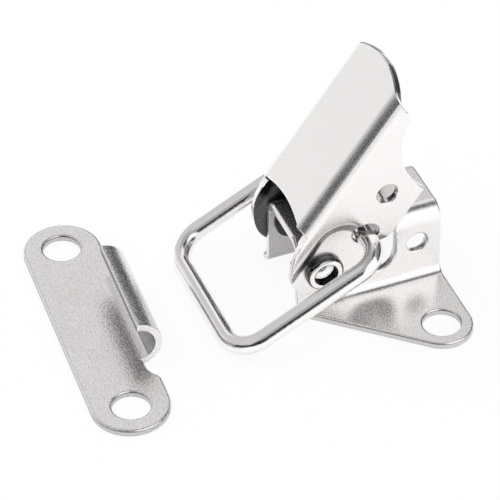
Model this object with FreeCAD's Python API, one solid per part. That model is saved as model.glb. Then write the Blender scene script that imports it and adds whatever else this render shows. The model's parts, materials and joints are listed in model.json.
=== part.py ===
"""Over centre toggle latch of bright stainless sheet and wire, with its strike plate.

X runs from the strike plate to the rear of the latch, Y across it and Z up.
The origin is midway between the two screw holes of the base, on its underside.
The latch stands half open: the lever is raised and the bail lies on the surface.
"""
import FreeCAD, Part
import math
import os

from FreeCAD import Vector

# Sheet and wire
sheet = 1.0
wire_r = 1.25

# Base plate: a hat section with two feet that widen into ears
base_h = 11.6
channel_w = 10.9
base_top_bend = 1.4
foot_bend = 1.3
front_reach = 3.2
toe_reach = 6.4
screw_hole_r = 2.5
screw_spacing = 30.5
ear_rim = 1.65

# Pivot, measured from the screw holes and from the underside
pivot_ahead = 13.0
pivot_z = 7.1

# Semi-tubular rivets: a rolled rim round a blind bore outside, a flat head inside
rivet_bore_r = 1.56
rivet_bore_depth = 1.4
rivet_shank_r = 2.05
rivet_rim_r = 2.58
rivet_rim_h = 1.0
rivet_rim_round = 0.65
rivet_rim_slopes = (90, 60, 30, 0)
rivet_mouth_chamfer = 0.3
rivet_head_r = 2.35
rivet_head_t = 0.5
rivet_head_chamfer = 0.2

# Lever, in its closed position and measured from the pivot
lever_raise = 53.7
lever_bend = 1.0
web_clear = 1.9
side_clear = 0.7
rub_clear = 0.05
lever_reach = 28.35
tip_sweep_r = 11.4
web_front = 4.4
web_scoop = 0.8
wall_drop = 5.2
nose_r = 4.5
nose_shift_x = 0.3
nose_shift_z = 0.5
brow_r = 9.0
brow_start = 130.0
deep_wall_reach = 16.2
finger_r = 9.95
finger_above_edge = 0.9
belly_run = 0.6
lip_round = 1.6
lip_setback = 4.55
wall_end_back = 2.35
web_lean = 0.5

# Joggle that brings the lever's walls in against the base
joggle_top = 5.0
joggle_rear = 8.6
joggle_corner = 4.6
joggle_run = 2.2

# Lock holes, which line up when the lever is closed
lock_back = 13.7
lock_drop = 0.5
lock_r = 1.43

# Bail and the holes that carry it in the lever
bail_hole_back = 7.19
bail_hole_drop = 1.85
bail_hole_r = 1.75
bail_seat_gap = 0.08
bail_length = 22.3
bail_leg_gap = 3.2
bail_front_bend = 4.2
bail_end_bend = 3.0
bail_end_gap = 0.55
rest_gap = 0.05

# Window in the base, where the ends of the bail swing
open_angle = 60.0
window_under = 0.25
window_behind = 2.2
window_corner = 2.7

# Strike plate
strike_spacing = 32.0
strike_half_w = 5.2
strike_end_inset = 0.4
strike_x = -41.8
strike_y = 1.4
strike_turn = 3.9
lip_length = 16.5
hook_room = 1.2
lip_start = 3.15
notch_depth = 1.25
notch_r = 2.8
notch_past_lip = 1.15
notch_round = 1.7

# Values that follow from those above
wall_y = channel_w / 2
lever_floor_y = wall_y + rub_clear
lever_wall_y = wall_y + side_clear
lever_half_w = lever_wall_y + sheet
web_top = base_h - pivot_z + web_clear + sheet
ear_r = screw_hole_r + ear_rim
seat_drop = bail_hole_r - wire_r - bail_seat_gap
raise_rad = math.radians(lever_raise)


def wire_axis():
    """Axis of the bail's ends in the closed lever: the wire hangs low in its holes."""
    x = bail_hole_back - seat_drop * math.sin(raise_rad)
    z = -bail_hole_drop - seat_drop * math.cos(raise_rad)
    return x, z


def turned(x, z, angle):
    """A point of the lever after it has been raised by an angle about the pivot."""
    a = math.radians(angle)
    return x * math.cos(a) - z * math.sin(a), x * math.sin(a) + z * math.cos(a)


def side(x, z):
    return Vector(x, 0, z)


def plan(x, y):
    return Vector(x, y, 0)


def cross(y, z):
    return Vector(0, y, z)


def on_circle(centre, r, angle):
    a = math.radians(angle)
    return centre[0] + r * math.cos(a), centre[1] + r * math.sin(a)


def line_to(point):
    return ("line", point)


def arc_to(centre, r, start, end):
    """A round stretch about a centre, between two angles in degrees."""
    return ("arc", on_circle(centre, r, (start + end) / 2), on_circle(centre, r, end))


def outline_face(start, steps, place):
    """A flat face from an outline of lines and arcs, closed with a line if need be."""
    edges = []
    here = start
    for step in steps:
        end = step[-1]
        if math.dist(here, end) < 1e-6:
            continue
        if step[0] == "line":
            edges.append(Part.makeLine(place(*here), place(*end)))
        else:
            edges.append(Part.Arc(place(*here), place(*step[1]), place(*end)).toShape())
        here = end
    if math.dist(here, start) > 1e-6:
        edges.append(Part.makeLine(place(*here), place(*start)))
    return Part.Face(Part.Wire(edges))


def bend_corners(points, radii):
    """Tangent points, centre and turn of each rounded corner of a polyline."""
    corners = []
    for before, at, after, r in zip(points, points[1:], points[2:], radii):
        d_in = (Vector(*at, 0) - Vector(*before, 0)).normalize()
        d_out = (Vector(*after, 0) - Vector(*at, 0)).normalize()
        turn = math.atan2(d_in.cross(d_out).z, d_in.dot(d_out))
        reach = r * math.tan(abs(turn) / 2)
        sign = math.copysign(1.0, turn)
        start = Vector(*at, 0) - d_in * reach
        end = Vector(*at, 0) + d_out * reach
        centre = start + Vector(-d_in.y, d_in.x, 0) * (sign * r)
        corners.append((start, end, centre, sign))
    return corners


def strip_face(points, radii, place):
    """Section of bent sheet: a polyline through mid thickness with rounded bends."""
    corners = bend_corners(points, radii)
    steps = []
    for hand in (1, -1):
        path = []
        ends = [Vector(*points[0], 0)]
        for start, end, _, _ in corners:
            ends += [start, end]
        ends.append(Vector(*points[-1], 0))
        for i in range(0, len(ends), 2):
            along = (Vector(*points[i // 2 + 1], 0) - Vector(*points[i // 2], 0)).normalize()
            out = Vector(-along.y, along.x, 0) * (hand * sheet / 2)
            a = ends[i] + out
            b = ends[i + 1] + out
            path.append(("line", (a.x, a.y)))
            path.append(("line", (b.x, b.y)))
            if i // 2 < len(corners):
                start, end, centre, sign = corners[i // 2]
                middle = ((start + end) * 0.5 - centre).normalize()
                r = (start - centre).Length - hand * sign * sheet / 2
                mid = centre + middle * r
                path.append(("bend", (mid.x, mid.y)))
        if hand < 0:
            path.reverse()
        steps += path
    start = steps[0][1]
    flat = []
    mid = None
    for kind, point in steps[1:]:
        if kind == "bend":
            mid = point
            continue
        flat.append(("line", point) if mid is None else ("arc", mid, point))
        mid = None
    return outline_face(start, flat, place)


def prism(face, direction):
    return face.extrude(direction)


def through_y(face):
    """A prism far wider than the latch, from a face drawn in the side view."""
    far = 10 * channel_w
    face.translate(Vector(0, -far, 0))
    return face.extrude(Vector(0, 2 * far, 0))


def hole_y(x, z, r):
    """A round hole right across the latch."""
    far = 10 * channel_w
    return Part.makeCylinder(r, 2 * far, Vector(x, -far, z), Vector(0, 1, 0))


def screw_hole(x, y):
    return Part.makeCylinder(screw_hole_r, 3 * sheet, Vector(x, y, -sheet), Vector(0, 0, 1))


def base_outline():
    """Plan view of the base: straight front and rear, tapering feet and round ears."""
    front = -pivot_ahead - front_reach
    ear_y = screw_spacing / 2
    run = math.hypot(front, ear_y - toe_reach)
    slope = math.atan2(ear_y - toe_reach, -front) + math.asin(ear_r / run)
    touch = math.degrees(slope) + 90
    steps = [
        arc_to((0, ear_y), ear_r, touch, 0),
        line_to((ear_r, -ear_y)),
        arc_to((0, -ear_y), ear_r, 0, -touch),
        line_to((front, -toe_reach)),
    ]
    first = on_circle((0, ear_y), ear_r, touch)
    return outline_face((front, toe_reach), [line_to(first)] + steps, plan)


def base_window():
    """Opening across walls and top that lets the bail's ends swing with the lever."""
    x, z = wire_axis()
    reach = math.hypot(x, z)
    front = turned(x, z, open_angle)[0] - wire_r - pivot_ahead
    rear = reach + wire_r + window_behind - pivot_ahead
    low = pivot_z + z - wire_r - window_under
    top = base_h + sheet
    corner = min(window_corner, (rear - front - sheet) / 2)
    steps = [
        line_to((front, low + corner)),
        arc_to((front + corner, low + corner), corner, 180, 270),
        line_to((rear - corner, low)),
        arc_to((rear - corner, low + corner), corner, -90, 0),
        line_to((rear, top)),
    ]
    return through_y(outline_face((front, top), steps, side))


def make_base_plate():
    """Hat section cut to its plan outline, then pierced."""
    far = screw_spacing
    mid_y = wall_y - sheet / 2
    top = base_h - sheet / 2
    foot = sheet / 2
    points = [(-far, foot), (-mid_y, foot), (-mid_y, top), (mid_y, top), (mid_y, foot), (far, foot)]
    foot_mid = foot_bend + sheet / 2
    top_mid = base_top_bend + sheet / 2
    section = strip_face(points, [foot_mid, top_mid, top_mid, foot_mid], cross)
    front = -pivot_ahead - front_reach
    section.translate(Vector(front - ear_r, 0, 0))
    hat = prism(section, Vector(ear_r * 3 - front, 0, 0))
    blank = base_outline()
    blank.translate(Vector(0, 0, -sheet))
    plate = hat.common(prism(blank, Vector(0, 0, base_h + 2 * sheet)))
    cuts = [screw_hole(0, y) for y in (-screw_spacing / 2, screw_spacing / 2)]
    cuts.append(hole_y(-pivot_ahead, pivot_z, rivet_shank_r))
    cuts.append(hole_y(lock_back - pivot_ahead, pivot_z - lock_drop, lock_r))
    cuts.append(base_window())
    for cut in cuts:
        plate = plate.cut(cut)
    return plate.removeSplitter()


def make_rivet(hand):
    """Rivet turned about Y: rolled rim outside the lever, flat head inside the channel."""
    seat = lever_floor_y + sheet + rub_clear
    crown = seat + rivet_rim_h
    inside = wall_y - sheet - rub_clear
    end = inside - rivet_head_t
    shoulder = (rivet_rim_r - rivet_rim_round, crown - rivet_rim_round)
    steps = [
        line_to((rivet_head_r, inside)),
        line_to((rivet_head_r, end + rivet_head_chamfer)),
        line_to((rivet_head_r - rivet_head_chamfer, end)),
        line_to((0, end)),
        line_to((0, crown - rivet_bore_depth)),
        line_to((rivet_bore_r, crown - rivet_bore_depth)),
        line_to((rivet_bore_r, crown - rivet_mouth_chamfer)),
        line_to((rivet_bore_r + rivet_mouth_chamfer, crown)),
        *[line_to(on_circle(shoulder, rivet_rim_round, angle)) for angle in rivet_rim_slopes],
        line_to((rivet_rim_r, seat)),
        line_to((rivet_shank_r, seat)),
    ]
    section = outline_face((rivet_shank_r, inside), steps, plan)
    rivet = section.revolve(Vector(0, 0, 0), Vector(0, 1, 0), 360)
    if hand < 0:
        rivet = rivet.mirror(Vector(0, 0, 0), Vector(0, 1, 0))
    rivet.translate(Vector(-pivot_ahead, 0, pivot_z))
    return rivet


def lever_side_outline():
    """Side view of the closed lever: round nose, deep wall, finger scoop and tip."""
    nose = (nose_shift_x, nose_shift_z)
    brow = on_circle(nose, nose_r - brow_r, brow_start)
    heel = (deep_wall_reach, -wall_drop)
    finger = (heel[0] + math.sqrt(finger_r**2 - finger_above_edge**2), -wall_drop - finger_above_edge)
    lip_x = lever_reach - lip_setback
    lip_z = finger[1] + math.sqrt((finger_r + lip_round) ** 2 - (finger[0] - lip_x) ** 2)
    lip = (lip_x, lip_z)
    lip_touch = math.degrees(math.atan2(finger[1] - lip_z, finger[0] - lip_x))
    scoop_end = lip_touch + 180
    scoop_start = 180 - math.degrees(math.asin(finger_above_edge / finger_r))
    belly = (joggle_rear + belly_run, -wall_drop)
    to_belly = math.atan2(belly[1] - nose[1], belly[0] - nose[0])
    reach = math.hypot(belly[0] - nose[0], belly[1] - nose[1])
    belly_touch = math.degrees(to_belly - math.acos(nose_r / reach))
    high = web_top + sheet
    under_web = web_top - sheet
    steps = [
        line_to((web_front - web_lean, brow[1] + brow_r)),
        line_to((brow[0], brow[1] + brow_r)),
        arc_to(brow, brow_r, 90, brow_start),
        arc_to(nose, nose_r, brow_start, belly_touch + 360),
        line_to(belly),
        line_to(heel),
        arc_to(finger, finger_r, scoop_start, scoop_end),
        arc_to(lip, lip_round, lip_touch, 0),
        line_to((lever_reach - wall_end_back, under_web)),
        line_to((lever_reach + sheet, under_web)),
        line_to((lever_reach + sheet, high)),
    ]
    return outline_face((web_front, high), steps, side)


def lever_plan_outline():
    """Top view of the lever: straight flanks and a swept tip."""
    centre = (lever_reach - tip_sweep_r, 0)
    half = lever_half_w + sheet
    edge = math.degrees(math.asin(half / tip_sweep_r))
    back = -2 * nose_r
    first = on_circle(centre, tip_sweep_r, -edge)
    steps = [
        line_to(first),
        arc_to(centre, tip_sweep_r, -edge, edge),
        line_to((back, half)),
    ]
    return outline_face((back, -half), steps, plan)


def web_scoop_cut():
    """Shallow hollow in the front edge of the lever's web."""
    half = lever_wall_y - lever_bend
    scoop_r = (half**2 + web_scoop**2) / (2 * web_scoop)
    centre = (web_front + web_scoop - scoop_r, 0)
    edge = math.degrees(math.asin(half / scoop_r))
    back = web_front - 2 * sheet
    steps = [
        line_to((web_front, -half)),
        arc_to(centre, scoop_r, -edge, edge),
        line_to((back, half)),
    ]
    face = outline_face((back, -half), steps, plan)
    face.translate(Vector(0, 0, web_top - sheet - lever_bend))
    return prism(face, Vector(0, 0, 2 * sheet + lever_bend))


def joggle_zone(inset):
    """Side view of the recessed part of a wall, moved in from its outer edge."""
    far = 3 * nose_r
    corner = (joggle_rear - joggle_corner, joggle_top - joggle_corner)
    r = joggle_corner - inset
    steps = [
        line_to((joggle_rear - inset, -far)),
        line_to((joggle_rear - inset, corner[1])),
        arc_to(corner, r, 0, 90),
        line_to((-far, joggle_top - inset)),
    ]
    return outline_face((-far, -far), steps, side)


def joggle_wall():
    """Recessed floor and the soft step round it, for the wall on the near side."""
    far = 3 * nose_r
    floor_mid = -(lever_floor_y + sheet / 2)
    wall_mid = -(lever_wall_y + sheet / 2)
    depth = side_clear - rub_clear
    angle = 2 * math.atan(depth / joggle_run)
    r = joggle_run / (2 * math.sin(angle))
    t = r * math.tan(angle / 2)
    inner = joggle_corner - joggle_run
    corner = (joggle_rear - joggle_corner, joggle_top - joggle_corner)

    def step_face(place):
        points = [
            (inner, floor_mid),
            (inner + t, floor_mid),
            (joggle_corner - t, wall_mid),
            (joggle_corner, wall_mid),
        ]
        return strip_face(points, [r, r], place)

    upward = step_face(lambda s, y: Vector(0, y, corner[1] + s))
    upward.translate(Vector(-far, 0, 0))
    rearward = step_face(lambda s, y: Vector(corner[0] + s, y, -far))
    rounded = step_face(lambda s, y: Vector(corner[0] + s, y, corner[1]))
    axis = Vector(corner[0], 0, corner[1])
    pieces = [
        prism(upward, Vector(far + corner[0], 0, 0)),
        prism(rearward, Vector(0, 0, far + corner[1])),
        rounded.revolve(axis, Vector(0, -1, 0), 90),
    ]
    floor = joggle_zone(joggle_run)
    floor.translate(Vector(0, floor_mid - sheet / 2, 0))
    floor = prism(floor, Vector(0, sheet, 0))
    return floor.fuse(pieces)


def make_lever():
    """Folded channel whose walls are stepped in round the pivot."""
    mid_y = lever_wall_y + sheet / 2
    top = web_top - sheet / 2
    low = -2 * wall_drop
    bend = lever_bend + sheet / 2
    section = strip_face([(-mid_y, low), (-mid_y, top), (mid_y, top), (mid_y, low)], [bend, bend], cross)
    back = -2 * nose_r
    section.translate(Vector(back, 0, 0))
    channel = prism(section, Vector(lever_reach - back + sheet, 0, 0))
    channel = channel.cut(through_y(joggle_zone(0)))
    near = joggle_wall()
    far = near.mirror(Vector(0, 0, 0), Vector(0, 1, 0))
    lever = channel.fuse([near, far])
    lever = lever.common(through_y(lever_side_outline()))
    top_view = lever_plan_outline()
    top_view.translate(Vector(0, 0, low))
    lever = lever.common(prism(top_view, Vector(0, 0, web_top + sheet - low)))
    cuts = [
        web_scoop_cut(),
        hole_y(0, 0, rivet_shank_r + rub_clear),
        hole_y(bail_hole_back, -bail_hole_drop, bail_hole_r),
        hole_y(lock_back, -lock_drop, lock_r),
    ]
    for cut in cuts:
        lever = lever.cut(cut)
    lever = lever.removeSplitter()
    return raised(lever)


def raised(shape):
    """Turns a piece drawn on the closed lever to where the lever stands."""
    shape.rotate(Vector(0, 0, 0), Vector(0, -1, 0), lever_raise)
    shape.translate(Vector(-pivot_ahead, 0, pivot_z))
    return shape


def bail_angle():
    """Fall of the bail's legs, so that its front bar lies on the surface."""
    height = pivot_z + turned(*wire_axis(), lever_raise)[1]
    return math.asin((height - wire_r - rest_gap) / bail_length)


def make_bail():
    """One round wire: two ends turned in, two legs and a front bar."""
    half = lever_half_w + bail_leg_gap + wire_r
    inner_end = lever_wall_y - sheet - side_clear - bail_end_gap
    points = [
        (0, -inner_end),
        (0, -half),
        (bail_length, -half),
        (bail_length, half),
        (0, half),
        (0, inner_end),
    ]
    bends = [bail_end_bend, bail_front_bend, bail_front_bend, bail_end_bend]
    edges = []
    here = Vector(*points[0], 0)
    for start, end, centre, sign in bend_corners(points, bends):
        middle = ((start + end) * 0.5 - centre).normalize()
        edges.append(Part.makeLine(here, start))
        edges.append(Part.Arc(start, centre + middle * (start - centre).Length, end).toShape())
        here = end
    edges.append(Part.makeLine(here, Vector(*points[-1], 0)))
    ring = Part.Wire([Part.makeCircle(wire_r, Vector(*points[0], 0), Vector(0, 1, 0))])
    bail = Part.Wire(edges).makePipeShell([ring], True, False)
    if bail.Volume < 0:
        bail.reverse()
    x, z = turned(*wire_axis(), lever_raise)
    bail.rotate(Vector(0, 0, 0), Vector(0, 1, 0), 180 - math.degrees(bail_angle()))
    bail.translate(Vector(x - pivot_ahead, 0, z + pivot_z))
    return bail


def strike_notch():
    """Relief at the lip's near end, which runs out to the plate's edge in a round."""
    deep = strike_half_w - notch_depth
    centre = (deep + notch_r, -lip_length / 2 - notch_past_lip)
    far = 4 * strike_half_w
    blend_x = strike_half_w - notch_round
    rise = math.sqrt((notch_r + notch_round) ** 2 - (centre[0] - blend_x) ** 2)
    blend = (blend_x, centre[1] - rise)
    touch = math.degrees(math.atan2(-rise, blend[0] - centre[0]))
    steps = [
        line_to((deep, centre[1])),
        arc_to(centre, notch_r, 180, touch + 360),
        arc_to(blend, notch_round, touch + 180, 0),
        line_to((far, blend[1])),
        line_to((far, 0)),
    ]
    face = outline_face((deep, 0), steps, plan)
    face.translate(Vector(0, 0, -sheet))
    return prism(face, Vector(0, 0, 3 * sheet))


def strike_lip():
    """Half round curl that stands up at one edge and comes back over the plate."""
    inner = wire_r + hook_room
    outer = inner + sheet
    centre = (lip_start, outer)
    steps = [
        arc_to(centre, outer, -90, 90),
        line_to((lip_start, outer + inner)),
        arc_to(centre, inner, 90, -90),
    ]
    face = outline_face((lip_start, 0), steps, side)
    face.translate(Vector(0, -lip_length / 2, 0))
    return prism(face, Vector(0, lip_length, 0))


def make_strike_plate():
    """Flat plate with round ends, two screw holes and the curled lip."""
    screw_y = strike_spacing / 2
    ends = screw_y - strike_end_inset
    steps = [
        arc_to((0, ends), strike_half_w, 0, 180),
        line_to((-strike_half_w, -ends)),
        arc_to((0, -ends), strike_half_w, 180, 360),
    ]
    plate = prism(outline_face((strike_half_w, ends), steps, plan), Vector(0, 0, sheet))
    room = Part.makeBox(strike_half_w, lip_length, 3 * sheet, Vector(lip_start, -lip_length / 2, -sheet))
    cuts = [room, strike_notch(), screw_hole(0, screw_y), screw_hole(0, -screw_y)]
    for cut in cuts:
        plate = plate.cut(cut)
    plate = plate.fuse(strike_lip()).removeSplitter()
    plate.rotate(Vector(0, 0, 0), Vector(0, 0, -1), strike_turn)
    plate.translate(Vector(strike_x, strike_y, 0))
    return plate


def main():
    os.makedirs("parts", exist_ok=True)
    nodes = {
        "base_plate": make_base_plate(),
        "near_rivet": make_rivet(-1),
        "far_rivet": make_rivet(1),
        "lever": make_lever(),
        "bail": make_bail(),
        "strike_plate": make_strike_plate(),
    }
    for name, shape in nodes.items():
        box = shape.BoundBox
        solids = len(shape.Solids)
        print(name, "solids", solids, "valid", shape.isValid(), "volume", round(shape.Volume, 1))
        print("  box", [round(v, 2) for v in (box.XMin, box.XMax, box.YMin, box.YMax, box.ZMin, box.ZMax)])
        shape.exportStep("parts/" + name + ".step")


main()
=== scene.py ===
# %% [markdown]
# # Over centre toggle latch
# A small latch of bright stainless steel: a lever of folded sheet turns on two rivets in a raised
# base and pulls a wire bail over the hook of a strike plate. The solids come packed as a frame.
# This lesson gives each one the rounded edges of real pressed metal, builds the rivets by hand,
# and lights the set like a small catalogue photograph.

import json
import math

import bpy
from mathutils import Euler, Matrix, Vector


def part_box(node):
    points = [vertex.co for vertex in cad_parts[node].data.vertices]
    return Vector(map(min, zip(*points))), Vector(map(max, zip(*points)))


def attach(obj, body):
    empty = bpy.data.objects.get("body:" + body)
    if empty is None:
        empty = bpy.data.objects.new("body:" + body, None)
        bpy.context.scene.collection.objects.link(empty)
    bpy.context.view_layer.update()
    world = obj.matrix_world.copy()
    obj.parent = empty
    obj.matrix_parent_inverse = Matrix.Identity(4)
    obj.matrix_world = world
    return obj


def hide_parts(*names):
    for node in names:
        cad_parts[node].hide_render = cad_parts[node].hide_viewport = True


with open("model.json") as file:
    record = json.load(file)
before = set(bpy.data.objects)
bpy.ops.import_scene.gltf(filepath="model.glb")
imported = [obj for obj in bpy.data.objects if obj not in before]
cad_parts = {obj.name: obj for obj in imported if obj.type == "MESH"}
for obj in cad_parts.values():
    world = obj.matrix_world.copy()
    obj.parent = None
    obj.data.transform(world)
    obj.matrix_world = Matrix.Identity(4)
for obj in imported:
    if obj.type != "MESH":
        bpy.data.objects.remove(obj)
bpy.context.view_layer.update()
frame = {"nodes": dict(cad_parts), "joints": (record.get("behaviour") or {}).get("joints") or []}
MM = 0.001
print("nodes:", sorted(frame["nodes"]))

# %% [markdown]
# ## The camera
# The photograph was taken from the front left and from above, through a long lens, so the
# latch hardly tapers. A camera can be aimed by hand, or placed by its azimuth, elevation and
# distance. Angles are used here, because each can be changed without spoiling the others.

# %% Place the camera
CAMERA_AZIMUTH = -21.81
CAMERA_ELEVATION = 41.09
CAMERA_ROLL = -0.33
CAMERA_DISTANCE = 503 * MM
CAMERA_AIM = Vector((-18.6, 5.2, 3.1)) * MM
LENS_MM = 274.25
SENSOR_MM = 36.0
NEAREST_SEEN = 10 * MM

camera_data = bpy.data.cameras.new("camera")
camera_data.lens = LENS_MM
camera_data.sensor_width = SENSOR_MM
camera_data.clip_start = NEAREST_SEEN
camera = bpy.data.objects.new("camera", camera_data)
bpy.context.collection.objects.link(camera)
heading = Euler((math.radians(90 - CAMERA_ELEVATION), 0, math.radians(CAMERA_AZIMUTH))).to_matrix()
turned = heading @ Euler((0, 0, math.radians(CAMERA_ROLL))).to_matrix()
camera.matrix_world = turned.to_4x4()
camera.location = CAMERA_AIM + turned @ Vector((0, 0, CAMERA_DISTANCE))
bpy.context.scene.camera = camera
bpy.context.scene.view_settings.view_transform = "Standard"
print("camera right", [round(v, 4) for v in turned.col[0]], "at", [round(v, 4) for v in camera.location])

# %% [markdown]
# ## Helpers for shader nodes
# Every finish below is a small network. Two helpers keep the cells short: one adds a node with
# its settings, the other joins sockets by name.

# %% Add and join shader nodes
def add_node(tree, kind, **settings):
    node = tree.nodes.new(kind)
    for name, value in settings.items():
        setattr(node, name, value)
    return node


def join(tree, source, output, target, entry):
    tree.links.new(source.outputs[output], target.inputs[entry])


# %% [markdown]
# ## World and floor
# Bright metal shows its surroundings more than its own colour, so the room matters as much as
# the steel. A flat white room would leave the latch without form. Real photographers hang white
# cards for the faces and dark cards for the bends. The world does the same: it is plain white to
# the camera, and for reflections it holds a few soft cards at fixed places in the room, each
# given by where it hangs, how large it is and how bright. The paper under the latch is matte, and
# gets an even light from all round.

# %% Describe one card of the tent
CARD_INPUTS = (
    "Level",
    "Azimuth",
    "Elevation",
    "Card azimuth",
    "Card elevation",
    "Half width",
    "Half height",
    "Card level",
)
CARD_SIDES = (("Azimuth", "Card azimuth", "Half width"), ("Elevation", "Card elevation", "Half height"))
HALF_TURN = 180.0
EDGE_FADE = 0.15


def make_card():
    """Mixes one soft rectangle of sky into the level that comes in."""
    group = bpy.data.node_groups.new("tent card", "ShaderNodeTree")
    for label in CARD_INPUTS:
        group.interface.new_socket(label, in_out="INPUT", socket_type="NodeSocketFloat")
    group.interface.new_socket("Level", in_out="OUTPUT", socket_type="NodeSocketFloat")
    entry = group.nodes.new("NodeGroupInput")
    result = group.nodes.new("NodeGroupOutput")
    inside = []
    for angle, centre, half in CARD_SIDES:
        apart = add_node(group, "ShaderNodeMath", operation="SUBTRACT")
        join(group, entry, angle, apart, 0)
        join(group, entry, centre, apart, 1)
        near = add_node(group, "ShaderNodeMath", operation="WRAP")
        near.inputs[1].default_value = HALF_TURN
        near.inputs[2].default_value = -HALF_TURN
        join(group, apart, "Value", near, 0)
        size = add_node(group, "ShaderNodeMath", operation="ABSOLUTE")
        join(group, near, "Value", size, 0)
        share = add_node(group, "ShaderNodeMath", operation="DIVIDE")
        join(group, size, "Value", share, 0)
        join(group, entry, half, share, 1)
        edge = add_node(group, "ShaderNodeMapRange", interpolation_type="SMOOTHSTEP")
        edge.inputs["From Min"].default_value = 1 + EDGE_FADE
        edge.inputs["From Max"].default_value = 1 - EDGE_FADE
        join(group, share, "Value", edge, "Value")
        inside.append(edge)
    mask = add_node(group, "ShaderNodeMath", operation="MULTIPLY")
    join(group, inside[0], "Result", mask, 0)
    join(group, inside[1], "Result", mask, 1)
    mixed = add_node(group, "ShaderNodeMix", data_type="FLOAT")
    join(group, mask, "Value", mixed, "Factor")
    join(group, entry, "Level", mixed, "A")
    join(group, entry, "Card level", mixed, "B")
    join(group, mixed, "Result", result, "Level")
    return group


card_group = make_card()

# %% [markdown]
# Azimuth is counted from the back of the latch, +Y, towards +X, and elevation from the table.
# The camera stands at azimuth -158. The bright cards light the flat faces. The dark ones stand low
# on the left, beside the camera, and low and high on the right, and they draw the grey bands in the
# bends, the wire and the rivets. Where two cards overlap, the later one covers the earlier one.

# %% Hang the cards
TENT_LEVEL = 0.50
ROOM_LIGHT = 0.80
# Each card has its azimuth, elevation, half width and half height in degrees, then its brightness.
CARDS = {
    "back wall": (-25, 24, 45, 36, 0.78),
    "back left box": (-44, 12, 15, 17, 1.10),
    "left wall": (-92, 44, 36, 26, 0.80),
    "left low": (-112, 7, 27, 14, 0.02),
    "window over the back": (42, 59, 26, 15, 1.20),
    "window by the top faces": (13, 40, 13, 13, 1.15),
    "right floor side": (80, 9, 53, 19, 0.10),
    "right bar": (37, 32, 9, 12, 0.12),
    "right high": (92, 40, 36, 9, 0.28),
    "front right": (153, 28, 33, 35, 1.50),
    "right top": (98, 72, 42, 8, 0.03),
    "camera side": (-150, 16, 25, 19, 0.04),
}

world = bpy.data.worlds.new("photo tent")
bpy.context.scene.world = world
world.use_nodes = True
sky = world.node_tree
sky.nodes.clear()
direction = add_node(sky, "ShaderNodeTexCoord")
parts = add_node(sky, "ShaderNodeSeparateXYZ")
join(sky, direction, "Generated", parts, "Vector")
around = add_node(sky, "ShaderNodeMath", operation="ARCTAN2")
join(sky, parts, "X", around, 0)
join(sky, parts, "Y", around, 1)
azimuth = add_node(sky, "ShaderNodeMath", operation="DEGREES")
join(sky, around, "Value", azimuth, 0)
height = add_node(sky, "ShaderNodeMath", operation="ARCSINE")
join(sky, parts, "Z", height, 0)
elevation = add_node(sky, "ShaderNodeMath", operation="DEGREES")
join(sky, height, "Value", elevation, 0)
last = None
for name, (card_azimuth, card_elevation, half_width, half_height, brightness) in CARDS.items():
    card = add_node(sky, "ShaderNodeGroup", node_tree=card_group, label=name)
    card.inputs["Card azimuth"].default_value = card_azimuth
    card.inputs["Card elevation"].default_value = card_elevation
    card.inputs["Half width"].default_value = half_width
    card.inputs["Half height"].default_value = half_height
    card.inputs["Card level"].default_value = brightness
    card.inputs["Level"].default_value = TENT_LEVEL
    join(sky, azimuth, "Value", card, "Azimuth")
    join(sky, elevation, "Value", card, "Elevation")
    if last:
        join(sky, last, "Level", card, "Level")
    last = card
print("cards:", len(CARDS))

# %% Show the cards to reflections only
path = add_node(sky, "ShaderNodeLightPath")
seen = add_node(sky, "ShaderNodeMath", operation="MAXIMUM")
join(sky, path, "Is Camera Ray", seen, 0)
join(sky, path, "Is Transmission Ray", seen, 1)
for_gloss = add_node(sky, "ShaderNodeMix", data_type="FLOAT")
for_gloss.inputs["A"].default_value = ROOM_LIGHT
join(sky, path, "Is Glossy Ray", for_gloss, "Factor")
join(sky, last, "Level", for_gloss, "B")
level = add_node(sky, "ShaderNodeMix", data_type="FLOAT")
level.inputs["B"].default_value = 1.0
join(sky, seen, "Value", level, "Factor")
join(sky, for_gloss, "Result", level, "A")
backdrop = add_node(sky, "ShaderNodeBackground")
sky_out = add_node(sky, "ShaderNodeOutputWorld")
join(sky, level, "Result", backdrop, "Strength")
join(sky, backdrop, "Background", sky_out, "Surface")

# %% [markdown]
# The floor is a sheet of white paper. For the camera it glows nearly white and keeps a faint
# shadow. In the metal it glows less and shows more of its own colour, so the shadow round each
# piece can be seen in the reflections, as it can in the photograph.

# %% Lay the floor
FLOOR_SIDE = 4.0
FLOOR_GLOW = 0.90
GLOW_IN_METAL = 0.48
FLOOR_COLOUR = 0.11
COLOUR_IN_METAL = 0.68

bpy.ops.object.select_all(action="DESELECT")
bpy.ops.mesh.primitive_plane_add(size=FLOOR_SIDE, location=(0, 0, 0))
floor = bpy.context.active_object
floor.name = "floor"
paper = bpy.data.materials.new("white paper")
paper.use_nodes = True
tree = paper.node_tree
tree.nodes.clear()
matte = add_node(tree, "ShaderNodeBsdfDiffuse")
glow = add_node(tree, "ShaderNodeEmission")
path = add_node(tree, "ShaderNodeLightPath")
paper_tone = add_node(tree, "ShaderNodeMapRange")
paper_tone.inputs["To Min"].default_value = FLOOR_COLOUR
paper_tone.inputs["To Max"].default_value = COLOUR_IN_METAL
join(tree, path, "Is Glossy Ray", paper_tone, "Value")
join(tree, paper_tone, "Result", matte, "Color")
to_eye = add_node(tree, "ShaderNodeMath", operation="MAXIMUM")
join(tree, path, "Is Camera Ray", to_eye, 0)
join(tree, path, "Is Transmission Ray", to_eye, 1)
in_eye = add_node(tree, "ShaderNodeMath", operation="MULTIPLY")
in_eye.inputs[1].default_value = FLOOR_GLOW
join(tree, to_eye, "Value", in_eye, 0)
in_metal = add_node(tree, "ShaderNodeMath", operation="MULTIPLY")
in_metal.inputs[1].default_value = GLOW_IN_METAL
join(tree, path, "Is Glossy Ray", in_metal, 0)
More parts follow.
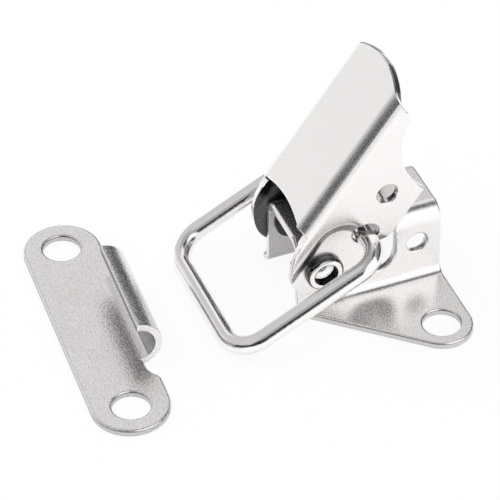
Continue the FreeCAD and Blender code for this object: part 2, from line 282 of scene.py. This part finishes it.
strength = add_node(tree, "ShaderNodeMath", operation="ADD")
join(tree, in_eye, "Value", strength, 0)
join(tree, in_metal, "Value", strength, 1)
join(tree, strength, "Value", glow, "Strength")
both = add_node(tree, "ShaderNodeAddShader")
floor_out = add_node(tree, "ShaderNodeOutputMaterial")
join(tree, matte, "BSDF", both, 0)
join(tree, glow, "Emission", both, 1)
join(tree, both, "Shader", floor_out, "Surface")
floor.data.materials.append(paper)
print("floor", FLOOR_SIDE, "m")

# %% [markdown]
# ## Lamps
# Soft boxes are large area lamps. A broad one hangs behind and to the left, and a smaller one high
# on the right. The metal has the cards to reflect, so the lamps are hidden from reflections. They
# light the paper, and give the latch its soft shadow there.

# %% Hang the soft boxes
LAMP_AIM = Vector((-20, 0, 10)) * MM


def soft_box(name, place, size, watts):
    data = bpy.data.lights.new(name, "AREA")
    data.shape = "RECTANGLE"
    data.size, data.size_y = size
    data.energy = watts
    lamp = bpy.data.objects.new(name, data)
    bpy.context.collection.objects.link(lamp)
    lamp.location = place
    lamp.visible_glossy = False
    lamp.rotation_euler = (LAMP_AIM - Vector(place)).to_track_quat("-Z", "Y").to_euler()
    print(name, "at", place, "with", watts, "W")


soft_box("back left box", place=(-0.55, 0.55, 0.55), size=(0.6, 0.5), watts=2.2)
soft_box("high right box", place=(0.45, 0.05, 0.75), size=(0.25, 0.25), watts=1.2)

# %% [markdown]
# ## Finishes shared by the sheet and the wire
# Small stainless parts are tumbled with ceramic chips after pressing. Under a lens the faces
# carry a fine pebbled grain, a few faint straight scratches and slow changes of sheen. Each of
# these is one node group with its own inputs, so that every material can use it at its own
# strength. They work on Object coordinates in metres and need no image.

# %% Start a node group
def new_group(name, inputs, outputs):
    group = bpy.data.node_groups.new(name, "ShaderNodeTree")
    for label, value in inputs.items():
        socket = group.interface.new_socket(label, in_out="INPUT", socket_type="NodeSocketFloat")
        socket.default_value = value
    for label in outputs:
        group.interface.new_socket(label, in_out="OUTPUT", socket_type="NodeSocketFloat")
    return group, group.nodes.new("NodeGroupInput"), group.nodes.new("NodeGroupOutput")


# %% Tumbled grain
TYPICAL_GRAIN = 0.2 * MM
GRAIN_LAYERS = 2.0
GRAIN_BITE = 0.6
NOISE_LOW = 0.30
NOISE_HIGH = 0.70


def make_grain():
    inputs = {"Grains per metre": 1 / TYPICAL_GRAIN}
    group, entry, result = new_group("tumbled grain", inputs, ["Speckle", "Height"])
    place = add_node(group, "ShaderNodeTexCoord")
    fine = add_node(group, "ShaderNodeTexNoise", noise_dimensions="3D")
    fine.inputs["Detail"].default_value = GRAIN_LAYERS
    fine.inputs["Roughness"].default_value = GRAIN_BITE
    spread = add_node(group, "ShaderNodeMapRange")
    spread.inputs["From Min"].default_value = NOISE_LOW
    spread.inputs["From Max"].default_value = NOISE_HIGH
    join(group, place, "Object", fine, "Vector")
    join(group, entry, "Grains per metre", fine, "Scale")
    join(group, fine, "Fac", spread, "Value")
    join(group, spread, "Result", result, "Speckle")
    join(group, fine, "Fac", result, "Height")
    return group


# %% Slow changes of sheen
CLOUDS_PER_METRE = 160.0
CLOUD_LAYERS = 3.0


def make_clouds():
    group, entry, result = new_group("sheen clouds", {"Clouds per metre": CLOUDS_PER_METRE}, ["Cloud"])
    place = add_node(group, "ShaderNodeTexCoord")
    slow = add_node(group, "ShaderNodeTexNoise", noise_dimensions="3D")
    slow.inputs["Detail"].default_value = CLOUD_LAYERS
    join(group, place, "Object", slow, "Vector")
    join(group, entry, "Clouds per metre", slow, "Scale")
    join(group, slow, "Fac", result, "Cloud")
    return group


# %% Faint straight scratches
SCRATCH_TURN = 0.4
SCRATCH_WIDTH = 0.03
SCRATCH_AXIS = (0.3, 0.5, 0.8)
SCRATCHES_PER_METRE = (90.0, 1900.0, 1900.0)
NOISE_MIDDLE = 0.5


def make_scratches():
    inputs = {"Turn": SCRATCH_TURN, "Width": SCRATCH_WIDTH}
    group, entry, result = new_group("tumbling scratches", inputs, ["Scratch"])
    place = add_node(group, "ShaderNodeTexCoord")
    turn = add_node(group, "ShaderNodeVectorRotate", rotation_type="AXIS_ANGLE")
    turn.inputs["Axis"].default_value = SCRATCH_AXIS
    stretch = add_node(group, "ShaderNodeVectorMath", operation="MULTIPLY")
    stretch.inputs[1].default_value = SCRATCHES_PER_METRE
    lines = add_node(group, "ShaderNodeTexNoise", noise_dimensions="3D")
    lines.inputs["Scale"].default_value = 1.0
    lines.inputs["Detail"].default_value = 1.0
    off_centre = add_node(group, "ShaderNodeMath", operation="SUBTRACT")
    off_centre.inputs[1].default_value = NOISE_MIDDLE
    size = add_node(group, "ShaderNodeMath", operation="ABSOLUTE")
    thin = add_node(group, "ShaderNodeMapRange")
    thin.inputs["To Min"].default_value = 1.0
    thin.inputs["To Max"].default_value = 0.0
    join(group, place, "Object", turn, "Vector")
    join(group, entry, "Turn", turn, "Angle")
    join(group, turn, "Vector", stretch, 0)
    join(group, stretch, "Vector", lines, "Vector")
    join(group, lines, "Fac", off_centre, 0)
    join(group, off_centre, "Value", size, 0)
    join(group, size, "Value", thin, "Value")
    join(group, entry, "Width", thin, "From Max")
    join(group, thin, "Result", result, "Scratch")
    return group


grain_group = make_grain()
cloud_group = make_clouds()
scratch_group = make_scratches()
print("groups:", [g.name for g in (grain_group, cloud_group, scratch_group)])

# %% [markdown]
# ## One recipe for stainless steel
# Stainless steel is a metal with a nearly neutral, faintly warm colour. All the pieces share one
# recipe: the grain and the clouds move the roughness, the grain and the scratches feed one bump,
# and the grain dims the colour a little, as pits hold shadow. Each piece gets its own colour,
# gloss and grain, because sheet, wire and rivet metal leave the tumbler differently. A piece may
# also carry a face attribute of painted shade, from 0 to 1, which darkens the colour towards black
# there: in hollows, holes and insides, and along the sheared edges.

# %% Mix the steel
BLACK = (0, 0, 0, 1)
SHEEN_LOW = 0.4
SHEEN_HIGH = 1.6
SCRATCH_HEIGHT = 0.001 * MM


def place_group(tree, group, **values):
    node = add_node(tree, "ShaderNodeGroup", node_tree=group)
    for label, value in values.items():
        node.inputs[label.replace("_", " ")].default_value = value
    return node


def steel(name, colour, roughness, spread, grain_size, grain_height, dimming, scratch_turn):
    material = bpy.data.materials.new(name)
    material.use_nodes = True
    tree = material.node_tree
    shader = tree.nodes["Principled BSDF"]
    shader.inputs["Metallic"].default_value = 1.0
    grain = place_group(tree, grain_group, Grains_per_metre=1 / grain_size)
    cloud = place_group(tree, cloud_group)
    scratch = place_group(tree, scratch_group, Turn=scratch_turn)

    tint = add_node(tree, "ShaderNodeMix", data_type="RGBA")
    tint.inputs["A"].default_value = (*[c * (1 - dimming) for c in colour], 1)
    tint.inputs["B"].default_value = (*colour, 1)
    join(tree, grain, "Speckle", tint, "Factor")
    # Painted shade: the face attribute mixes the colour towards black.
    shade = add_node(tree, "ShaderNodeMix", data_type="RGBA")
    painted_shade = add_node(tree, "ShaderNodeAttribute", attribute_name="painted_shade")
    shade.inputs["B"].default_value = BLACK
    join(tree, painted_shade, "Fac", shade, "Factor")
    join(tree, tint, "Result", shade, "A")
    join(tree, shade, "Result", shader, "Base Color")

    sheen = add_node(tree, "ShaderNodeMath", operation="ADD")
    join(tree, grain, "Speckle", sheen, 0)
    join(tree, cloud, "Cloud", sheen, 1)
    gloss = add_node(tree, "ShaderNodeMapRange")
    gloss.inputs["From Min"].default_value = SHEEN_LOW
    gloss.inputs["From Max"].default_value = SHEEN_HIGH
    gloss.inputs["To Min"].default_value = roughness - spread
    gloss.inputs["To Max"].default_value = roughness + spread
    join(tree, sheen, "Value", gloss, "Value")
    join(tree, gloss, "Result", shader, "Roughness")

    pits = add_node(tree, "ShaderNodeBump")
    pits.inputs["Strength"].default_value = 1.0
    pits.inputs["Distance"].default_value = grain_height
    join(tree, grain, "Height", pits, "Height")
    marks = add_node(tree, "ShaderNodeBump", invert=True)
    marks.inputs["Strength"].default_value = 1.0
    marks.inputs["Distance"].default_value = SCRATCH_HEIGHT
    join(tree, scratch, "Scratch", marks, "Height")
    join(tree, pits, "Normal", marks, "Normal")
    join(tree, marks, "Normal", shader, "Normal")
    print(name, "roughness", roughness, "grain", round(grain_size / MM, 2), "mm")
    return material


# %% Give every piece its own steel
lever_steel = steel(
    "lever steel",
    colour=(0.94, 0.922, 0.918),
    roughness=0.27,
    spread=0.04,
    grain_size=0.26 * MM,
    grain_height=0.009 * MM,
    dimming=0.03,
    scratch_turn=0.4,
)
base_steel = steel(
    "base steel",
    colour=(0.94, 0.922, 0.918),
    roughness=0.265,
    spread=0.05,
    grain_size=0.28 * MM,
    grain_height=0.014 * MM,
    dimming=0.05,
    scratch_turn=1.1,
)
strike_steel = steel(
    "strike steel",
    colour=(0.95, 0.933, 0.93),
    roughness=0.27,
    spread=0.07,
    grain_size=0.30 * MM,
    grain_height=0.044 * MM,
    dimming=0.26,
    scratch_turn=2.0,
)
wire_steel = steel(
    "wire steel",
    colour=(0.93, 0.915, 0.912),
    roughness=0.15,
    spread=0.05,
    grain_size=0.30 * MM,
    grain_height=0.008 * MM,
    dimming=0.02,
    scratch_turn=0.0,
)
rivet_steel = steel(
    "rivet steel",
    colour=(0.93, 0.915, 0.91),
    roughness=0.10,
    spread=0.02,
    grain_size=0.25 * MM,
    grain_height=0.002 * MM,
    dimming=0.02,
    scratch_turn=0.7,
)

# %% [markdown]
# ## Pressed sheet with a soft edge
# Sheet cut in a press has two kinds of edge. Where the punch enters, the metal is drawn down
# into a small round. Where it leaves, the edge stays nearly sharp. The solids have plain sharp
# edges, so a copy of each is merged, its flat faces are joined, its edges are picked by angle
# and side, and a Bevel modifier rounds each kind by its own weight.
#
# The modifier could keep its rounds from running into each other, but it would then shrink them
# all to what the smallest face allows. That is switched off, and the few edges where a round
# would throw a spike are left sharp: those beside a slim face, and those that meet a wider round
# almost in line. Last, a Weighted Normal modifier keeps flat faces flat right up to their rounds.

# %% Copy a solid and join its flats
MERGE_GAP = 0.002 * MM
FLAT_ANGLE = math.radians(0.6)


def copy_of(node, name):
    """A copy of a CAD solid, with its triangles joined into faces."""
    source = frame["nodes"][node]
    piece = source.copy()
    piece.data = source.data.copy()
    piece.name = name
    piece.data.name = name
    bpy.context.collection.objects.link(piece)
    bpy.ops.object.select_all(action="DESELECT")
    piece.select_set(True)
    bpy.context.view_layer.objects.active = piece
    bpy.ops.object.mode_set(mode="EDIT")
    bpy.ops.mesh.select_all(action="SELECT")
    bpy.ops.mesh.remove_doubles(threshold=MERGE_GAP)
    bpy.ops.mesh.customdata_custom_splitnormals_clear()
    bpy.ops.mesh.dissolve_limited(angle_limit=FLAT_ANGLE)
    bpy.ops.mesh.select_all(action="DESELECT")
    bpy.ops.object.mode_set(mode="OBJECT")
    print(name, "has", len(piece.data.polygons), "faces once its flats are joined")
    return piece


# %% Find the edges that stand out
SHARP_ANGLE = math.radians(33)


def sides_of_edges(mesh):
    """The faces at each edge, each with whether it runs along the edge in the edge's direction."""
    sides = {}
    for face in mesh.polygons:
        corners = list(face.vertices)
        for start, stop in zip(corners, corners[1:] + corners[:1]):
            sides.setdefault((min(start, stop), max(start, stop)), []).append((face, start < stop))
    return sides


def stands_out(mesh, key, sides):
    """True for a sharp edge that stands out, False for a shallow one or an inner corner."""
    (a, forward), (b, _) = sides[key]
    if a.normal.angle(b.normal) < SHARP_ANGLE:
        return False
    along = mesh.vertices[key[1]].co - mesh.vertices[key[0]].co
    turn = a.normal.cross(b.normal).dot(along)
    return turn > 0 if forward else turn < 0


# %% Find the edges that stay sharp
SLIM_ANGLE = math.radians(8)
JUMP_ANGLE = math.radians(40)


def heading_from(mesh, key, corner):
    """The direction of an edge, seen from one of its two corners."""
    other = key[0] if key[1] == corner else key[1]
    return (mesh.vertices[other].co - mesh.vertices[corner].co).normalized()


def left_sharp(mesh, weights):
    """The edges where a round couldn't end cleanly."""
    at_corner = {}
    for edge in mesh.edges:
        for corner in edge.vertices:
            at_corner.setdefault(corner, []).append(edge.key)
    left_out = set()
    for corner, keys in at_corner.items():
        rounded = [key for key in keys if key in weights]
        for key in rounded:
            way = heading_from(mesh, key, corner)
            for other in keys:
                if other == key:
                    continue
                bend = way.angle(heading_from(mesh, other, corner))
                if other not in weights and bend < SLIM_ANGLE:
                    left_out.add(key)
                if other in weights and math.pi - bend < JUMP_ANGLE and weights[key] < weights[other]:
                    left_out.add(key)
    return left_out


# %% Round the edges by side
EXIT_SHARE = 0.35
ROUND_STEPS = 4
FLAT_PULL = 100


def round_edges(piece, width, entry_side):
    """Rounds the edges that stand out, fully on the punch's side and less on the other."""
    mesh = piece.data
    sides = sides_of_edges(mesh)
    weights = {}
    for edge in mesh.edges:
        if stands_out(mesh, edge.key, sides):
            (a, _), (b, _) = sides[edge.key]
            weights[edge.key] = 1.0 if entry_side(a) or entry_side(b) else EXIT_SHARE
    for key in left_sharp(mesh, weights):
        weights[key] = 0.0
    stored = mesh.attributes.new("bevel_weight_edge", "FLOAT", "EDGE")
    for edge in mesh.edges:
        stored.data[edge.index].value = weights.get(edge.key, 0.0)
    soft = sum(weight == 1.0 for weight in weights.values())
    bevel = piece.modifiers.new("edge rounds", "BEVEL")
    bevel.width = width
    bevel.segments = ROUND_STEPS
    bevel.limit_method = "WEIGHT"
    bevel.miter_outer = "MITER_ARC"
    bevel.loop_slide = False
    bevel.use_clamp_overlap = False
    bpy.ops.object.modifier_apply(modifier=bevel.name)
    bpy.ops.object.shade_smooth_by_angle(angle=SHARP_ANGLE)
    flat = piece.modifiers.new("flat faces stay flat", "WEIGHTED_NORMAL")
    flat.mode = "FACE_AREA"
    flat.weight = FLAT_PULL
    flat.keep_sharp = True
    bpy.ops.object.modifier_apply(modifier=flat.name)
    print(piece.name, "has", soft, "soft edges and", len(mesh.polygons), "faces")


# %% Paint shade on some faces, and put a piece in the place of its solid
def paint_shade_on_faces(piece, shade_amount_of):
    """Stores on every face how much painted shade darkens its colour."""
    painted_shade = piece.data.attributes.new("painted_shade", "FLOAT", "FACE")
    counted = 0
    for face in piece.data.polygons:
        amount = shade_amount_of(face)
        painted_shade.data[face.index].value = amount
        counted += amount > 0
    print(piece.name, "has", counted, "dull faces")


def dress(piece, node, body, material):
    """Puts a finished piece in the place of its solid."""
    piece.data.materials.clear()
    piece.data.materials.append(material)
    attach(piece, body)
    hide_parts(node)


# %% [markdown]
# ## Strike plate
# The plate lies on its own at the left. Its top face was the punch's side, so the top rims of
# the outline and of both screw holes are rounded, and the curled lip keeps crisp ends.
#
# The sheared sides get painted shade, a colour darkened a little, with a darker painted line
# where the shear began, and the inside of the hook gets painted shade too. To tell which way a
# face looks, its normal is compared with an axis: 1 is straight along it, and 0 is square to it.

# %% Tell which way a face looks
LEANS = 0.3
FACES = 0.7
UPRIGHT = 0.1
ON_THE_LINE = 0.5
SHEET = 1.0 * MM
NEAR = 0.02 * MM
# Painted shade on the sheared sides, and a darker painted line where the shear began.
CUT_PAINTED_SHADE = 0.28
LINE_PAINTED_SHADE = 0.65


def cut_painted_shade(face):
    """Painted shade on the sheared side of the sheet, with a darker painted line where the shear began.
    """
    n, c = face.normal, face.center
    if c.z > SHEET or n.z < -LEANS:
        return 0.0
    if n.z < UPRIGHT:
        return CUT_PAINTED_SHADE
    return LINE_PAINTED_SHADE if n.z < ON_THE_LINE else 0.0


# %% Finish the strike plate
STRIKE_ROUND = 0.34 * MM
# Painted shade inside the hook.
HOOK_PAINTED_SHADE = 0.6
HOOK_FLOOR = 1.2 * MM
HOOK_LOOKS_DOWN = 0.2
HOOK_LOOKS_BACK = 0.6


def on_strike_top(face):
    return face.normal.z > FACES and abs(face.center.z - SHEET) < NEAR


def strike_painted_shade(face):
    """Painted shade on the sheared sides, and on the inside of the hook."""
    n, c = face.normal, face.center
    cut = cut_painted_shade(face)
    if cut:
        return cut
    if c.z > HOOK_FLOOR and (n.z < -HOOK_LOOKS_DOWN or n.x < -HOOK_LOOKS_BACK):
        return HOOK_PAINTED_SHADE
    return 0.0


strike = copy_of("strike_plate", "strike_plate_finished")
round_edges(strike, STRIKE_ROUND, on_strike_top)
paint_shade_on_faces(strike, strike_painted_shade)
dress(strike, "strike_plate", "base", strike_steel)

# %% [markdown]
# ## Base plate
# The base is a strip folded up into a channel, with a foot on each side. Its outer side was the
# punch's side: the tops of the feet, the outer faces of the walls and the top of the channel.
# The inside of the channel gets painted shade, a darkened colour.

# %% Finish the base plate
BASE_ROUND = 0.30 * MM
WALL_FACES = 0.75
MOSTLY = 0.5
CHANNEL_Y = 5.0 * MM
CHANNEL_Z = 5.0 * MM
# Painted shade inside the channel.
CHANNEL_PAINTED_SHADE = 0.45


def looks_outwards(normal, centre):
    """How far a face looks away from the middle of the piece, to either side."""
    return normal.y * math.copysign(1, centre.y)


def on_base_outside(face):
    n, c = face.normal, face.center
    if c.z < SHEET + NEAR:
        return n.z > FACES
    return n.z > LEANS or looks_outwards(n, c) > WALL_FACES


def base_painted_shade(face):
    """Painted shade on the sheared sides with their line, and in the inside of the channel."""
    n, c = face.normal, face.center
    cut = cut_painted_shade(face)
    if cut:
        return cut
    if c.z > SHEET and abs(n.x) > MOSTLY and UPRIGHT < looks_outwards(n, c) < ON_THE_LINE:
        return LINE_PAINTED_SHADE
    walls = looks_outwards(n, c) < -LEANS and abs(c.y) < CHANNEL_Y
    if walls or (n.z < -LEANS and c.z > CHANNEL_Z):
        return CHANNEL_PAINTED_SHADE
    return 0.0


base = copy_of("base_plate", "base_plate_finished")
round_edges(base, BASE_ROUND, on_base_outside)
paint_shade_on_faces(base, base_painted_shade)
dress(base, "base_plate", "base", base_steel)

# %% [markdown]
# ## Lever
# The lever is a folded channel that stands raised. To tell its outer side from its cut edges,
# each face is turned back to the closed position, where the web is level and the walls upright.
# Four places get painted shade, a colour darkened towards black: the inside, which is nearly
# black in the photograph, the step where the walls are pressed inwards round the pivot, the line
# along the sheared sides, and the two holes that hold the bail's ends.

# %% Turn the lever's faces back to the closed position
lever_joint = next(j for j in frame["joints"] if j["name"] == "lever_pivot")
bail_joint = next(j for j in frame["joints"] if j["name"] == "bail_swing")
LEVER_PIVOT = Vector(lever_joint["pos_m"])
LEVER_RAISE = -math.radians(lever_joint["range_deg"][0])
BAIL_AXIS = Vector(bail_joint["pos_m"])


def closed(vector):
    """A vector of the raised lever, seen with the lever closed."""
    c, s = math.cos(LEVER_RAISE), math.sin(LEVER_RAISE)
    return Vector((vector.x * c + vector.z * s, vector.y, vector.z * c - vector.x * s))


# %% Finish the lever
LEVER_ROUND = 0.26 * MM
NOSE_TOP = 5.3 * MM
LEVER_INSIDE_Y = 6.3 * MM
# Painted shade inside the lever.
LEVER_INSIDE_PAINTED_SHADE = 0.88
WALL_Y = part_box("lever")[1][1]
STEP_FROM = WALL_Y - 0.63 * MM
STEP_TO = WALL_Y - 0.07 * MM
STEP_FACES = 0.6
STEP_LOOKS_UP = 0.15
# Painted shade on the pressed step round the pivot.
STEP_PAINTED_SHADE = 0.4
BAIL_HOLE_REACH = 1.7 * MM
# Painted shade in the holes of the bail.
BAIL_HOLE_PAINTED_SHADE = 0.7


def on_lever_outside(face):
    n = closed(face.normal)
    c = closed(face.center - LEVER_PIVOT)
    return (n.z > LEANS and c.z > NOSE_TOP) or looks_outwards(n, c) > WALL_FACES


def lever_painted_shade(face):
    """Painted shade on the inside, the step, the line along the sheared sides, and the holes of the
    bail.
    """
    n = closed(face.normal)
    c = closed(face.center - LEVER_PIVOT)
    under_web = n.z < -LEANS and c.z > NOSE_TOP and abs(c.y) < LEVER_INSIDE_Y
    if under_web or looks_outwards(n, c) < -LEANS:
        return LEVER_INSIDE_PAINTED_SHADE
    if STEP_FROM < abs(c.y) < STEP_TO and abs(n.y) > STEP_FACES and n.z < STEP_LOOKS_UP:
        return STEP_PAINTED_SHADE
    fold = n.z > LEANS and abs(n.x) < LEANS
    if not fold and UPRIGHT < looks_outwards(n, c) < ON_THE_LINE:
        return LINE_PAINTED_SHADE
    from_wire = math.hypot(face.center.x - BAIL_AXIS.x, face.center.z - BAIL_AXIS.z)
    return BAIL_HOLE_PAINTED_SHADE if abs(n.y) < LEANS and from_wire < BAIL_HOLE_REACH else 0.0


lever = copy_of("lever", "lever_finished")
round_edges(lever, LEVER_ROUND, on_lever_outside)
paint_shade_on_faces(lever, lever_painted_shade)
dress(lever, "lever", "lever", lever_steel)

# %% [markdown]
# ## Bail
# The bail is one length of round wire. Its bends are already true in the solid, and only its
# two cut ends, which hide inside the lever, need a small round.

# %% Finish the bail
WIRE_END_ROUND = 0.15 * MM

bail = copy_of("bail", "bail_finished")
round_edges(bail, WIRE_END_ROUND, lambda face: True)
dress(bail, "bail", "bail", wire_steel)

# %% [markdown]
# ## Rivets
# The lever turns on two semi-tubular rivets. Such a rivet is a short pin with a blind bore in its
# end: a punch rolls the wall round the bore outwards into a smooth ring. It is modelled the way
# it is seen from outside. A disc is drawn out into the ring, its middle is inset and pushed back
# in as the bore, and the two rims are bevelled round. The bottom of the bore is dished in two
# steps, so that it throws light back out: that is the bright lens seen in it. The back of the
# disc is inset and drawn out again, through both sheets, into the shank and the flat head inside
# the channel.

# %% Measure one rivet on its solid
RING_POINTS = 96
RIM_ROUND = 0.62 * MM
MOUTH_ROUND = 0.26 * MM
HEAD_ROUND = 0.15 * MM
BORE_R = 1.56 * MM
SHANK_R = 2.05 * MM
HEAD_R = 2.35 * MM
RIM_HEIGHT = 1.0 * MM
HEAD_THICK = 0.5 * MM
BORE_DEPTH = 1.4 * MM
DISH_STEP = BORE_R / 3
DISH_DEPTHS = (0.20 * MM, 0.09 * MM)
CLOSE = 0.01 * MM

rivet_low, rivet_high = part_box("near_rivet")
AXIS_X = (rivet_low[0] + rivet_high[0]) / 2
AXIS_Z = (rivet_low[2] + rivet_high[2]) / 2
RIM_R = (rivet_high[0] - rivet_low[0]) / 2
CROWN_Y, HEAD_Y = rivet_low[1], rivet_high[1]
print("rivet rim", round(2 * RIM_R / MM, 2), "mm across, its axis", round(AXIS_Z / MM, 2), "mm up")


# %% Pick faces and rings by their place
def pick_faces(piece, wanted):
    """Selects the faces of a piece that pass a test, and nothing else."""
    bpy.ops.object.mode_set(mode="EDIT")
    bpy.ops.mesh.select_mode(type="FACE")
    bpy.ops.mesh.select_all(action="DESELECT")
    bpy.ops.object.mode_set(mode="OBJECT")
    for face in piece.data.polygons:
        face.select = wanted(face)
    bpy.ops.object.mode_set(mode="EDIT")


def pick_ring(piece, radius, y):
    """Selects the edges that lie on one circle round the rivet's axis."""
    bpy.ops.object.mode_set(mode="EDIT")
    bpy.ops.mesh.select_mode(type="EDGE")
    bpy.ops.mesh.select_all(action="DESELECT")
    bpy.ops.object.mode_set(mode="OBJECT")
    on_ring = []
    for vertex in piece.data.vertices:
        reach = math.hypot(vertex.co.x - AXIS_X, vertex.co.z - AXIS_Z)
        on_ring.append(abs(reach - radius) < CLOSE and abs(vertex.co.y - y) < CLOSE)
    for edge in piece.data.edges:
        edge.select = all(on_ring[i] for i in edge.vertices)
    bpy.ops.object.mode_set(mode="EDIT")


def draw_out(distance):
    """Extrudes the selected faces along the rivet's axis."""
    bpy.ops.mesh.extrude_region_move(TRANSFORM_OT_translate={"value": (0, distance, 0)})


# %% Draw the ring and sink the bore
SEAT_Y = CROWN_Y + RIM_HEIGHT
bpy.ops.object.select_all(action="DESELECT")
bpy.ops.mesh.primitive_circle_add(
    vertices=RING_POINTS,
    radius=RIM_R,
    fill_type="NGON",
    location=(AXIS_X, SEAT_Y, AXIS_Z),
    rotation=(math.pi / 2, 0, 0),
)
near_rivet = bpy.context.active_object
near_rivet.name = "near_rivet_finished"
near_rivet.data.name = "near_rivet_finished"
bpy.ops.object.transform_apply(location=True, rotation=True, scale=True)
pick_faces(near_rivet, lambda face: True)
draw_out(-RIM_HEIGHT)
pick_faces(near_rivet, lambda face: abs(face.center.y - CROWN_Y) < CLOSE)
bpy.ops.mesh.inset(thickness=RIM_R - BORE_R)
draw_out(BORE_DEPTH)
for deeper in DISH_DEPTHS:
    bpy.ops.mesh.inset(thickness=DISH_STEP)
    bpy.ops.transform.translate(value=(0, deeper, 0))
bpy.ops.object.mode_set(mode="OBJECT")
print("ring and bore:", len(near_rivet.data.polygons), "faces")

# %% Draw the shank and the head
HEAD_SEAT_Y = HEAD_Y - HEAD_THICK
pick_faces(near_rivet, lambda face: abs(face.center.y - SEAT_Y) < CLOSE)
bpy.ops.mesh.inset(thickness=RIM_R - SHANK_R)
draw_out(HEAD_SEAT_Y - SEAT_Y)
draw_out(0)
widen = HEAD_R / SHANK_R
bpy.ops.transform.resize(value=(widen, 1, widen), center_override=(AXIS_X, HEAD_SEAT_Y, AXIS_Z))
draw_out(HEAD_THICK)
for radius, y, width, steps in (
    (RIM_R, CROWN_Y, RIM_ROUND, 8),
    (BORE_R, CROWN_Y, MOUTH_ROUND, 5),
    (HEAD_R, HEAD_Y, HEAD_ROUND, 3),
):
    pick_ring(near_rivet, radius, y)
    bpy.ops.mesh.bevel(offset=width, segments=steps, profile=0.5, affect="EDGES")
bpy.ops.mesh.select_all(action="SELECT")
bpy.ops.mesh.normals_make_consistent(inside=False)
bpy.ops.object.mode_set(mode="OBJECT")
bpy.ops.object.shade_smooth_by_angle(angle=SHARP_ANGLE)
print("near rivet:", len(near_rivet.data.polygons), "faces")

# %% Mirror it to the far side and dress both
# Painted shade in the bore, on the flank and on the hidden head.
BORE_PAINTED_SHADE = 0.89
FLANK_PAINTED_SHADE = 0.88
HEAD_PAINTED_SHADE = 0.95
END_FACES = 0.8


def rivet_painted_shade(face):
    """Painted shade in the bore and on the flank, and on the head hidden in the channel."""
    radius = math.hypot(face.center.x - AXIS_X, face.center.z - AXIS_Z)
    if abs(face.center.y) < abs(SEAT_Y) - BORE_DEPTH:
        return HEAD_PAINTED_SHADE
    if abs(face.normal.y) > END_FACES:
        return 0.0
    return BORE_PAINTED_SHADE if radius < BORE_R + CLOSE else FLANK_PAINTED_SHADE


far_rivet = near_rivet.copy()
far_rivet.data = near_rivet.data.copy()
far_rivet.name = "far_rivet_finished"
far_rivet.data.name = "far_rivet_finished"
bpy.context.collection.objects.link(far_rivet)
bpy.ops.object.select_all(action="DESELECT")
far_rivet.select_set(True)
bpy.context.view_layer.objects.active = far_rivet
bpy.ops.object.mode_set(mode="EDIT")
bpy.ops.mesh.select_all(action="SELECT")
bpy.ops.transform.resize(value=(1, -1, 1), center_override=(0, 0, 0))
bpy.ops.mesh.normals_make_consistent(inside=False)
bpy.ops.object.mode_set(mode="OBJECT")
for rivet in (near_rivet, far_rivet):
    paint_shade_on_faces(rivet, rivet_painted_shade)
dress(near_rivet, "near_rivet", "base", rivet_steel)
dress(far_rivet, "far_rivet", "base", rivet_steel)

# %% Give the hidden solids their steel and finish
SOLID_STEEL = {
    "base_plate": base_steel,
    "near_rivet": rivet_steel,
    "far_rivet": rivet_steel,
    "lever": lever_steel,
    "bail": wire_steel,
    "strike_plate": strike_steel,
}
for node, material in SOLID_STEEL.items():
    for place in frame["nodes"][node].material_slots:
        place.material = material
